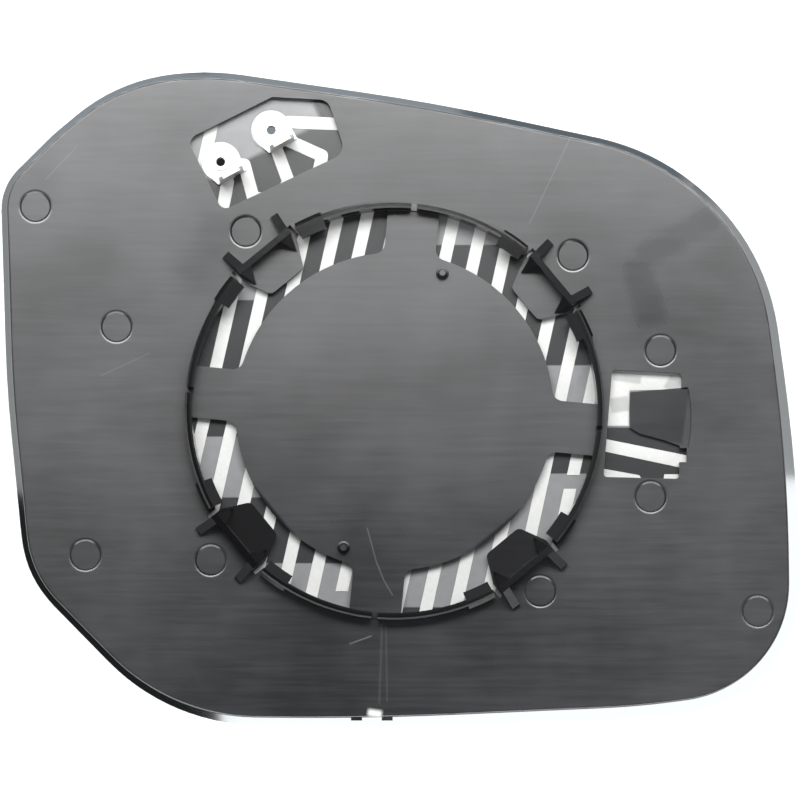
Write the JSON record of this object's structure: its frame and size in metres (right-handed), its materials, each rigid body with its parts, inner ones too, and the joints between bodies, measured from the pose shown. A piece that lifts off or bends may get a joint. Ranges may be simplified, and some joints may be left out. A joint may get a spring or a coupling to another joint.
{
  "type": "door mirror glass",
  "caption": "Heated convex door mirror glass with a moulded back plate, seen from its back, with a clip-on retaining ring, heater terminals and windows over the heating film.",
  "frame": {"origin": "under the middle of the glass, at the lowest point of the convex face", "axes": "+X to the right and +Y up when the back is looked at, +Z out of the back, away from the glass"},
  "size_m": [0.1921, 0.1581, 0.012],
  "materials": {
    "mirror_glass": "convex silvered glass with a ground edge",
    "heater_film": "satin film with carbon print",
    "heater_tracks": "light matt metal print",
    "backing_plate": "satin black moulded plastic",
    "terminal": "tinned sheet metal",
    "rivet": "tinned hollow rivet"
  },
  "bodies": {
    "root": {"mirror_glass": "mirror_glass", "heater_film": "heater_film", "heater_tracks": "heater_tracks", "backing_plate": "backing_plate", "terminal_left": "terminal", "terminal_right": "terminal", "rivet_left": "rivet", "rivet_right": "rivet"}
  },
  "joints": []
}
